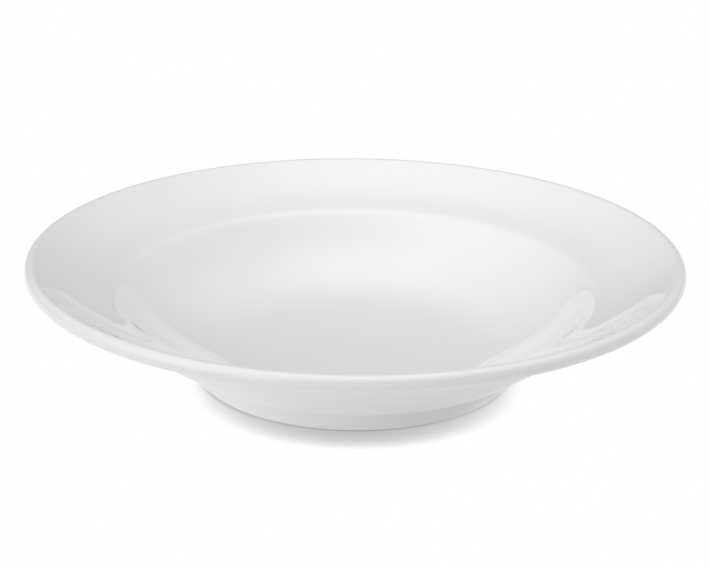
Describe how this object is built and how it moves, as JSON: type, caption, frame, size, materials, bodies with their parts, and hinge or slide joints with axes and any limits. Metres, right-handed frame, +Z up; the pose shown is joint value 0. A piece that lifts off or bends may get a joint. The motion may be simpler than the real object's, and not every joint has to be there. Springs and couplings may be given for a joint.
{
  "type": "soup bowl",
  "caption": "White glazed porcelain soup bowl with a wide sloping rim, a rounded well, a full-round lip and a flared foot ring that stands bare on the table.",
  "frame": {"origin": "centre of the circle on which the foot ring stands, on the table", "axes": "+Z up along the bowl's axis of revolution; X and Y are alike"},
  "size_m": [0.23, 0.23, 0.0448],
  "materials": {
    "bare_porcelain": "matte, fired and wiped bare",
    "white_glaze": "gloss"
  },
  "bodies": {
    "root": {"porcelain_body": "bare_porcelain", "glaze_coat": "white_glaze", "foot_recess_glaze": "white_glaze"}
  },
  "joints": []
}
